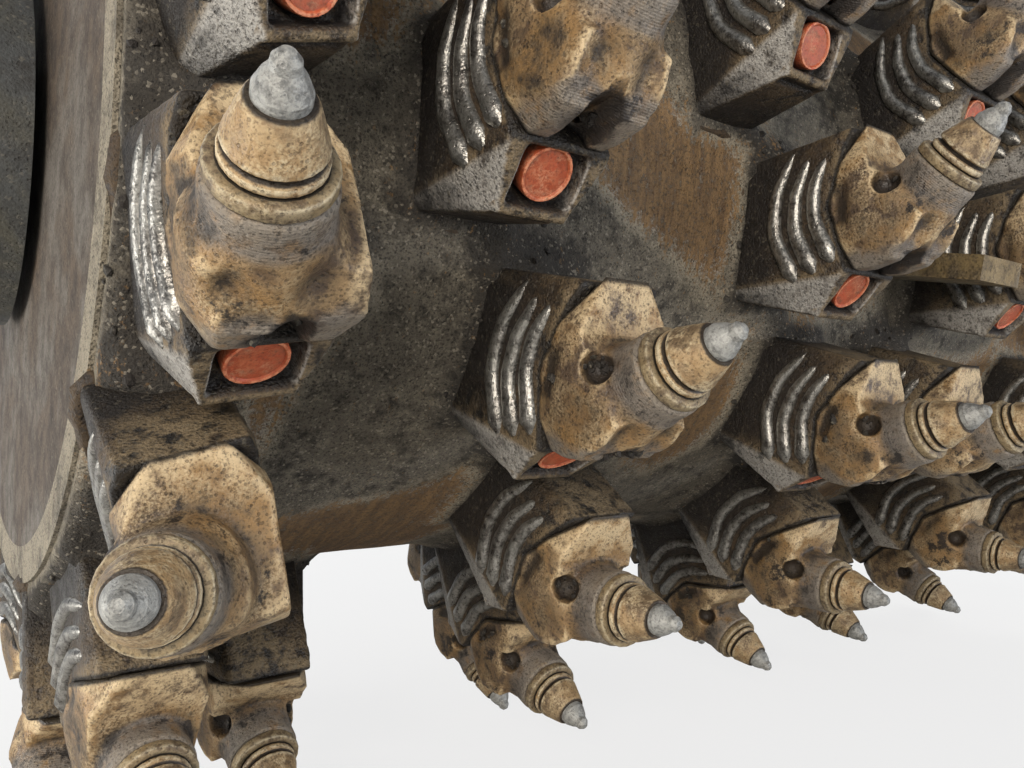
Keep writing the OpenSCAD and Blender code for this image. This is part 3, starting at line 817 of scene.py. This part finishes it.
for side, template, budget in (("bearing", base_one, 70000), ("drive", base_far, 32000)):
    base = lay_out("bases_ring_" + side, template, edge_rows(side), base_steel)
    dress(base, "base_holders", "bases_%s_edge" % side)
    upper = forged(node_mesh("holders_%s_edge" % side), "uppers_ring_" + side, 0.0018, 5, budget, *work_ring(side))
    upper.data.materials.clear()
    upper.data.materials.append(upper_steel)
    dress(upper, "upper_holders", "holders_%s_edge" % side)
    print(base.name, triangles(base), upper.name, triangles(upper))

# %% [markdown]
# ## Turned picks and washers, moulded plugs
# A pick's steel body has a cone, a round shoulder, a groove, a collar, and a shank that is hidden in its
# upper. Under the collar lies the wear washer. Both are profiles turned about the pick's axis, and the
# plug with its low rim is one about its own. A profile is a row of depths and radii in millimetres, each
# with how much grime and painted shade lies there; below 0 its edge is rubbed pale, with a painted highlight.

# %% Profiles
PICK = ((18.0, 0, 0.3), (18.0, 11.2, 0.5), (19.3, 12.2, 0.0), (25, 14.3, 0.0), (31, 16.3, 0.0),
        (33.8, 17.4, -0.1), (35.3, 17.8, -0.3), (36.3, 17.3, 0.2), (36.9, 15.7, 1.0), (38.1, 15.5, 1.0),
        (38.8, 17.7, 0.2), (39.7, 18.5, -0.3), (42.2, 18.5, -0.1), (42.9, 18.1, 0.4), (43.4, 17.2, 1.0),
        (43.5, 9.9, 1.0), (115, 9.9, 0.0), (116.5, 8.4, 0.0), (116.5, 0, 0.0))
WASHER = ((43.5, 10, 1.0), (43.5, 18.3, 1.0), (43.5, 19.0, 0.2), (43.7, 21.4, 0.0), (44.3, 22.4, -0.2),
          (45.4, 22.9, -0.1), (49.4, 22.9, 0.0), (50.1, 22.5, 0.3), (50.5, 21.6, 1.0), (50.5, 10, 1.0),
          (43.5, 10, 1.0))
PLUG = ((2.2, 0, 0.1), (2.2, 12.4, 0.25), (1.3, 13.0, -0.1), (0.9, 13.6, -0.3), (1.1, 14.6, -0.2),
        (2.0, 15.0, 0.2), (14.0, 15.0, 0.6), (14.0, 0, 0.6))
SIDES = {"bearing": 24, "drive": 12}
SHARP_ANGLE = radians(50)


def bridge(made, low, high):
    """Quads between two rings of as many points, or triangles where one is a single point."""
    for i in range(max(len(low), len(high))):
        quad = (low[i % len(low)], low[(i + 1) % len(low)], high[(i + 1) % len(high)], high[i % len(high)])
        made.faces.new(list(dict.fromkeys(quad)))


def turned_piece(name, profile, sides, place):
    """A turned piece about the Z axis of place, with its depth counted downwards."""
    made = bmesh.new()
    grime_and_shade_mark = made.verts.layers.float.new("hollow")
    loops = []
    for depth, radius, dirt_and_shade in profile:
        ring = []
        for i in range(sides if radius else 1):
            a = 2 * pi * i / sides
            spot = Vector((radius * cos(a), radius * sin(a), -depth)) / 1000.0
            ring.append(made.verts.new(place @ spot))
            ring[-1][grime_and_shade_mark] = dirt_and_shade
        loops.append(ring)
    if loops[0][0].co == loops[-1][0].co:
        bmesh.ops.delete(made, geom=loops[-1], context="VERTS")
        loops[-1] = loops[0]
    for low, high in zip(loops, loops[1:]):
        bridge(made, low, high)
    bmesh.ops.recalc_face_normals(made, faces=made.faces)
    return thing(name, mesh_of(made, name))


def dress_turned(pieces, slot, instead):
    for piece, node in zip(pieces, instead):
        dress(piece, slot, node)
        piece.data.set_sharp_from_angle(angle=SHARP_ANGLE)
    print(slot, "pieces:", triangles(*pieces), "triangles")


pick_nodes = ["picks_flight_%d" % (k + 1) for k in range(4)] + ["picks_%s_edge" % side for side in SIDES]
for stem, profile, finish, slot, instead in (
        ("pick_bodies", PICK, pick_steel, "pick_steel", pick_nodes),
        ("washer_bodies", WASHER, washer_steel, "wear_washers", ["washers_flights", 0, 0, 0, "washers_edges", 0])):
    close, far = (turned_piece(stem, profile, count, pick_frame()) for count in SIDES.values())
    pieces = flights(stem, close, far, finish)
    for side, count in SIDES.items():
        own = [turned_piece(stem, profile, count, pick_frame(edge_skew(side, tip))) for tip, _ in EDGE_TIPS]
        pieces.append(lay_out("%s_ring_%s" % (stem, side), own, edge_rows(side, True), finish))
        remove(*own)
    remove(close, far)
    dress_turned(pieces, slot, instead)
plug_place = (Matrix.Translation((0, REAR_Y, REAR_Z)) @ Matrix.Rotation(REAR_LEAN, 4, "X")
              @ Matrix.Translation((0, -0.0175, -0.002)))
close, far = (turned_piece("plug", PLUG, count, plug_place) for count in SIDES.values())
pieces = flights("plug_discs", close, far, plug_plastic)
pieces += [lay_out("plug_discs_ring_" + side, close, edge_rows(side), plug_plastic) for side in SIDES]
remove(close, far)
dress_turned(pieces, "plugs", ["plugs_flights", 0, 0, 0, "plugs_edges", 0])

# %% [markdown]
# ## Ribs and weld beads
# Three raised ribs run down each flank of a base, bent like the parting line. They take the wear, so they
# shine. A weld bead runs round each foot. One tree sweeps both along their paths, thins them towards their
# ends or gives them ripples, and the row tree repeats them with the bases.

# %% Bead tree
bead_tree, given, node = new_tree("Bead along a path", Radius=0.004, Corner=0.01, Spacing=0.006, Sides=8,
                                  End_Shape=1.0, Ripple=0.0, Finish="Material")
path = node("GeometryNodeMeshToCurve", Mesh=given["Geometry"])
bent = node("GeometryNodeFilletCurve", {"mode": "POLY"}, Curve=path, Count=5, Radius=given["Corner"])
even = node("GeometryNodeResampleCurve", {"mode": "LENGTH"}, Curve=bent, Length=given["Spacing"])
# thin at the front end, full in the middle, swollen and then round at the rear end
WIDEST = 1.5
swell = add(bead_tree, "ShaderNodeFloatCurve",
            Value=add(bead_tree, "GeometryNodeSplineParameter").outputs["Factor"])
line = swell.mapping.curves[0]
line.points[0].location, line.points[1].location = (0.0, 0.28 / WIDEST), (1.0, 0.55 / WIDEST)
for part_way, wide in ((0.12, 0.72), (0.45, 0.95), (0.80, 1.12), (0.93, 1.22)):
    line.points.new(part_way, wide / WIDEST)
swell.mapping.update()
swell = calc(bead_tree, "MULTIPLY_ADD", swell.outputs[0], WIDEST, -1.0)
ends = calc(bead_tree, "MULTIPLY_ADD", swell, given["End Shape"], 1.0)
wave = calc(bead_tree, "SUBTRACT", node("ShaderNodeTexNoise", Scale=140.0, Detail=1.0), 0.5)
wave = calc(bead_tree, "MULTIPLY_ADD", wave, given["Ripple"], ends)
wide = calc(bead_tree, "MULTIPLY", wave, given["Radius"])
ring = node("GeometryNodeCurvePrimitiveCircle", {"mode": "RADIUS"}, Resolution=given["Sides"], Radius=1.0)
sized = node("GeometryNodeSetCurveRadius", Curve=even, Radius=wide)
swept = add(bead_tree, "GeometryNodeCurveToMesh", Curve=sized, Profile_Curve=ring, Fill_Caps=True)
if "Scale" in swept.inputs:
    bead_tree.links.new(wide, swept.inputs["Scale"])
hand_out(bead_tree, given["Finish"], swept.outputs[0])

# %% Sweep the ribs of one base and the weld bead of one foot
def bead(name, points, edges, finish, **sizes):
    mesh = bpy.data.meshes.new(name)
    mesh.from_pydata(points, edges, [])
    host = thing(name, mesh)
    use_tree(host, bead_tree, Finish=finish, **sizes)
    return plain(host)


# each rib as forward and outward places in mm, from its thin front end to its thick rear end
RIBS = (((-13, 386), (-34, 377), (-56, 376), (-88, 390)), ((-11, 373), (-38, 362), (-64, 361), (-94, 376)),
        ((-7, 360), (-34, 346), (-64, 344), (-98, 361)))
FLANK_X, END_SINK = 0.0312, 0.0018
points, edges = [], []
for side in (-1, 1):
    for rib in RIBS:
        start = len(points)
        points += [(side * (FLANK_X - END_SINK * (i in (0, 3))), y / 1000.0, z / 1000.0)
                   for i, (y, z) in enumerate(rib)]
        edges += [(start + i, start + i + 1) for i in range(3)]
ribs_one = bead("one set of ribs", points, edges, rib_steel, Radius=0.0058, Corner=0.030, Spacing=0.0072,
                Sides=8, End_Shape=1.0, Ripple=0.22)
# the foot's outline on the tube, as places along and round it in mm
FOOT = ((29, -6), (32, -16), (32, -96), (26, -108), (-26, -108), (-32, -96), (-32, -16), (-29, -6))
points = [(x / 1000.0, y / 1000.0, sqrt(TUBE_R ** 2 - (y / 1000.0) ** 2) + 0.001) for x, y in FOOT]
weld_one = bead("one weld bead", points, [(i, (i + 1) % len(FOOT)) for i in range(len(FOOT))], weld_steel,
                Radius=0.0056, Corner=0.008, Spacing=0.0080, Sides=6, End_Shape=0.0, Ripple=0.9)
print("of one base: ribs", triangles(ribs_one), "weld", triangles(weld_one), "triangles")

# %% Repeat them over the drum
ribs = lay_out("flank_ribs", ribs_one, all_rows, rib_steel)
welds = lay_out("foot_welds", weld_one, all_rows, weld_steel)
for beads in (ribs, welds):
    dress(beads, "base_holders")
    print(beads.name, triangles(beads), "triangles")

# %% [markdown]
# ## The tube and what is packed on it
# The tube carries a crust of packed fines, a few millimetres thick, thin where the stuff slides past and
# thick in the lee of every foot. The crust is one closed shell: a grid laid round the tube, pushed
# outwards by noise and by how near the next foot is.

# %% Crust shell
X0, X1 = -1.341, -0.083
AROUND, LONG = 290, 190
HIGHEST = 0.034
END_GAP, SINK = 0.0005, 0.0015


def crust_height(xs, out_y, out_z):
    """Height of the crust above the tube at every point of the grid, in metres, and how bare it is."""
    height, bare = np.empty((LONG, AROUND)), np.empty((LONG, AROUND))
    for i, x in enumerate(xs):
        for j in range(AROUND):
            p = Vector((x, out_y[j], out_z[j]))
            lump = noise.fractal(p * 26.0, 1.0, 2.1, 4)
            patch = noise.noise(p * 7.0 + Vector((3.1, 0.4, 7.7)))
            bare[i, j] = min(1.0, max(0.0, (patch - 0.08) * 4.0))
            height[i, j] = (0.0018 + 0.0016 * lump) * (1.0 - 0.75 * bare[i, j]) + 0.0005
    for x, angle, _ in all_seats:
        a = radians(90.0 - angle)
        ly = out_y * cos(a) + out_z * sin(a)
        lz = -out_y * sin(a) + out_z * cos(a)
        near = np.nonzero((lz > 0) & (np.abs(ly + 0.056) < 0.11))[0]
        rows = np.nonzero(np.abs(xs - x) < 0.08)[0]
        off, ahead_ = (xs[rows] - x)[:, None], ly[near][None, :]
        away = np.hypot(np.maximum(np.abs(off) - 0.031, 0), np.maximum(np.abs(ahead_ + 0.056) - 0.049, 0))
        pile = 0.0075 * np.exp(-away / 0.011)
        # stuff is pushed up against the front of a foot, most of all in the middle
        front = np.exp(-(np.maximum(ahead_ + 0.010, 0) / 0.020)) * (ahead_ > -0.016)
        front = front * np.exp(-(off / 0.034) ** 2)
        here = np.ix_(rows, near)
        block = height[here]
        grown = block * 0.6 + pile * (0.7 + 220.0 * block) + front * 0.030 * np.clip(block * 420.0, 0.35, 1.3)
        height[here] = np.maximum(block, grown)
        bare[here] *= np.clip(away / 0.02, 0, 1)
    return np.clip(height, 0.0004, HIGHEST), bare


xs, th = np.linspace(X0, X1, LONG), np.arange(AROUND) * (2 * pi / AROUND)
height, bare = crust_height(xs, np.cos(th) * TUBE_R, np.sin(th) * TUBE_R)
under = np.full(AROUND, TUBE_R - SINK)
rings = [(X0 - END_GAP, under)] + [(x, TUBE_R + h) for x, h in zip(xs, height)] + [(X1 + END_GAP, under)]
grid = np.concatenate([np.stack([np.full(AROUND, x), np.cos(th) * r, np.sin(th) * r], 1) for x, r in rings])
faces = []
for i in range(len(rings)):
    n = (i + 1) % len(rings)
    for j in range(AROUND):
        m = (j + 1) % AROUND
        faces.append((i * AROUND + j, i * AROUND + m, n * AROUND + m, n * AROUND + j))
mesh = bpy.data.meshes.new("tube_crust")
mesh.from_pydata(grid.tolist(), [], faces)
mesh.update()
edge = np.zeros((1, AROUND))
write(mesh, "hollow", np.concatenate([edge, 0.25 - 0.75 * bare + 30.0 * np.maximum(height - 0.004, 0), edge]))
write(mesh, "bare", np.concatenate([edge, bare, edge]))
made = bmesh.new()
made.from_mesh(mesh)
bmesh.ops.recalc_face_normals(made, faces=made.faces)
made.to_mesh(mesh)
made.free()
crust = thing("tube_crust", mesh)
mesh.materials.append(tube_crust)
mesh.shade_smooth()
dress(crust, "tube_steel")
print("crust:", triangles(crust), "triangles, highest", round(float(height.max()) * 1000, 1), "mm")

# %% Rubbed patches in the crust
RUST, PALE_RUST, OLD_RUST = "#5E4429", "#917046", "#2E2620"
t = tube_crust.node_tree
colour_in = t.nodes["Principled BSDF"].inputs["Base Color"]
place = add(t, "ShaderNodeTexCoord").outputs["Object"]
# streaks run round the tube, the way the stuff slides
drawn = put(t, "ShaderNodeVectorMath", {"operation": "MULTIPLY"}, _0=place, _1=(1.0, 0.13, 0.13))
streak = put(t, "ShaderNodeTexNoise", Vector=drawn, Scale=150.0, Detail=6.0, Roughness=0.75)
flecks = put(t, "ShaderNodeTexNoise", Vector=place, Scale=320.0, Detail=4.0, Roughness=0.7)
rust = mix(t, span(t, streak, 0.38, 0.60), RUST, PALE_RUST)
rust = mix(t, span(t, flecks, 0.50, 0.36, 0.0, 0.8), rust, OLD_RUST)
share = calc(t, "MULTIPLY_ADD", calc(t, "SUBTRACT", flecks, 0.5), 2.2, marked(t, "bare"))
share = calc(t, "MULTIPLY_ADD", calc(t, "SUBTRACT", streak, 0.5), 1.8, share)
share = span(t, share, 0.28, 0.78, 0.0, 0.85, True)
t.links.new(mix(t, share, colour_in.links[0].from_socket, rust), colour_in)
print("rubbed patches cover", round(float(bare.mean()) * 100), "% of the tube")

# %% [markdown]
# ## Crumbs
# Broken bits of asphalt, a few millimetres across, lie against the feet and stick to the uppers. There
# are thousands, so each has only twenty faces. A tree strews them over a surface with a fixed seed, in
# clusters, where it is hollow enough.

# %% Crumb tree
strew_tree, given, node = new_tree("Strewn crumbs", Density=4000.0, Seed=3, Smallest=0.5, Largest=1.6,
                                   Least_Hollow=0.12, Crumb="Object", Finish="Material")
deep = node("GeometryNodeInputNamedAttribute", {"data_type": "FLOAT"}, Name="hollow")
patch = span(strew_tree, node("ShaderNodeTexNoise", Scale=46.0, Detail=1.0), 0.46, 0.60)
allowed = calc(strew_tree, "MULTIPLY", calc(strew_tree, "GREATER_THAN", deep, given["Least Hollow"]), patch)
dots = node("GeometryNodeDistributePointsOnFaces", {"distribute_method": "RANDOM"}, Mesh=given["Geometry"],
            Seed=given["Seed"], Density=calc(strew_tree, "MULTIPLY", allowed, given["Density"]))
size = add(strew_tree, "FunctionNodeRandomValue", {"data_type": "FLOAT"}, Seed=given["Seed"],
           _2=given["Smallest"], _3=given["Largest"]).outputs[1]
twist = node("FunctionNodeRandomValue", {"data_type": "FLOAT_VECTOR"}, _1=(6.28, 6.28, 6.28))
hand_out(strew_tree, given["Finish"], copies(strew_tree, dots, given["Crumb"], twist, Scale=size))

# %% One crumb, then strew them
CRUMB_FACES = 20
made = bmesh.new()
bmesh.ops.create_icosphere(made, subdivisions=1, radius=0.0022)
for i, v in enumerate(made.verts):
    v.co *= 0.8 + 0.4 * ((i * 37) % 11) / 11.0
    v.co.z *= 0.72
crumb = thing("crumb", mesh_of(made, "crumb"))


def strew(surface, name, **sizes):
    """Crumbs on a copy of a surface, as one plain mesh."""
    host = thing(name, surface.data.copy())
    use_tree(host, strew_tree, Crumb=crumb, Finish=crumb_stuff, Smallest=0.5, **sizes)
    crumbs = plain(host)
    dress(crumbs, "tube_steel")
    print(name + ":", triangles(crumbs) // CRUMB_FACES)


strew(crust, "crumbs_on_tube", Density=4200.0, Seed=11, Least_Hollow=0.30, Largest=1.7)
near_uppers = [o for o in scene.objects if o.name.startswith("uppers_r") and not o.name.endswith("drive")]
for i, upper in enumerate(near_uppers):
    strew(upper, "crumbs_on_" + upper.name, Density=25000.0, Seed=21 + i, Least_Hollow=0.22, Largest=1.6)
remove(base_one, base_far, upper_one, upper_far, ribs_one, weld_one, crumb)

# %% [markdown]
# ## Bolts
# Hexagon bolts hold the gear case's rim to the ring inside the tube, and the cap to the bearing housing.
# A bolt's head is a chamfered hexagon on a washer face. A tree sets so many of them on a circle.

# %% One bolt head
def bolt_head(across, high, washer):
    """A hexagon head with a chamfered top on its washer face, along +X from x = 0."""
    made = bmesh.new()

    def loop(radius, x, sides):
        turns = [2 * pi * i / sides for i in range(sides)]
        return [made.verts.new((x, radius * cos(a), radius * sin(a))) for a in turns]

    corner = across / sqrt(3)
    for loops in ([loop(washer, 0.0, 24), loop(washer, 0.0012, 24)],
                  [loop(corner, 0.0011, 6), loop(corner, high - 0.0012, 6), loop(corner * 0.9, high, 6)]):
        for low, up in zip(loops, loops[1:]):
            bridge(made, low, up)
        made.faces.new(list(reversed(loops[0])))
        made.faces.new(loops[-1])
    bmesh.ops.recalc_face_normals(made, faces=made.faces)
    return thing("bolt head", mesh_of(made, "bolt head"))


# %% Bolt circle tree
bolt_tree, given, node = new_tree("Bolt circle", Count=8, Radius=0.1, Place_X=0.0, Facing=0.0, Bolt="Object",
                                  Finish="Material")
row = node("GeometryNodeMeshLine", {"mode": "OFFSET"}, Count=given["Count"], Offset=(0, 0, 0))
step = calc(bolt_tree, "DIVIDE", 2 * pi, given["Count"])
angle = calc(bolt_tree, "MULTIPLY", node("GeometryNodeInputIndex"), step)
y, z = (calc(bolt_tree, "MULTIPLY", calc(bolt_tree, way, angle), given["Radius"]) for way in ("COSINE", "SINE"))
set_out = node("GeometryNodeSetPosition", Geometry=row,
               Position=node("ShaderNodeCombineXYZ", X=given["Place X"], Y=y, Z=z))
facing = node("ShaderNodeCombineXYZ", X=angle, Z=given["Facing"])
hand_out(bolt_tree, given["Finish"], copies(bolt_tree, set_out, given["Bolt"], facing))

# %% Set the bolts
def bolt_circle(name, bolt, body, **sizes):
    host = thing(name, bpy.data.meshes.new(name))
    use_tree(host, bolt_tree, Bolt=bolt, Finish=machined, **sizes)
    dress(plain(host), "machined_steel", body=body)
    remove(bolt)


bolt_circle("gear_rim_bolts", bolt_head(0.024, 0.010, 0.0165), "drum", Count=20, Radius=0.2075,
            Place_X=-0.202, Facing=0.0)
bolt_circle("cap_bolts", bolt_head(0.019, 0.0075, 0.012), "standing", Count=8, Radius=0.088,
            Place_X=-1.436, Facing=pi)
print("bolts: 20 on the rim, 8 on the cap")

# %% [markdown]
# ## Finishes for the solids that stay
# The tips, the throwers, the shafts and the plates have the right shape already. Every solid gets its
# finish, and its sharp turned edges are kept crisp by the solids' own normals.

# %% Put finishes on the solids
FINISH = {"bases": base_steel, "holders": upper_steel, "picks": pick_steel, "washers": washer_steel,
          "tips": carbide, "plugs": plug_plastic, "throwers": thrower_steel, "drum_tube": tube_crust,
          "carrying_ring": inner_steel, "end_plate": inner_steel, "stub_shaft": machined,
          "gear_case": case_enamel, "drive_flange": housing_enamel, "drive_spindle": housing_enamel,
          "bearing": housing_enamel, "input_shaft": machined}
for name, solid in frame["nodes"].items():
    finish = next(f for start, f in FINISH.items() if name.startswith(start))
    for place in solid.material_slots:
        place.material = finish
print("solids with a finish:", len(frame["nodes"]))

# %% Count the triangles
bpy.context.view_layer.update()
total = triangles(*(o for o in scene.objects if o.type == "MESH"))
print("triangles in the scene:", total)
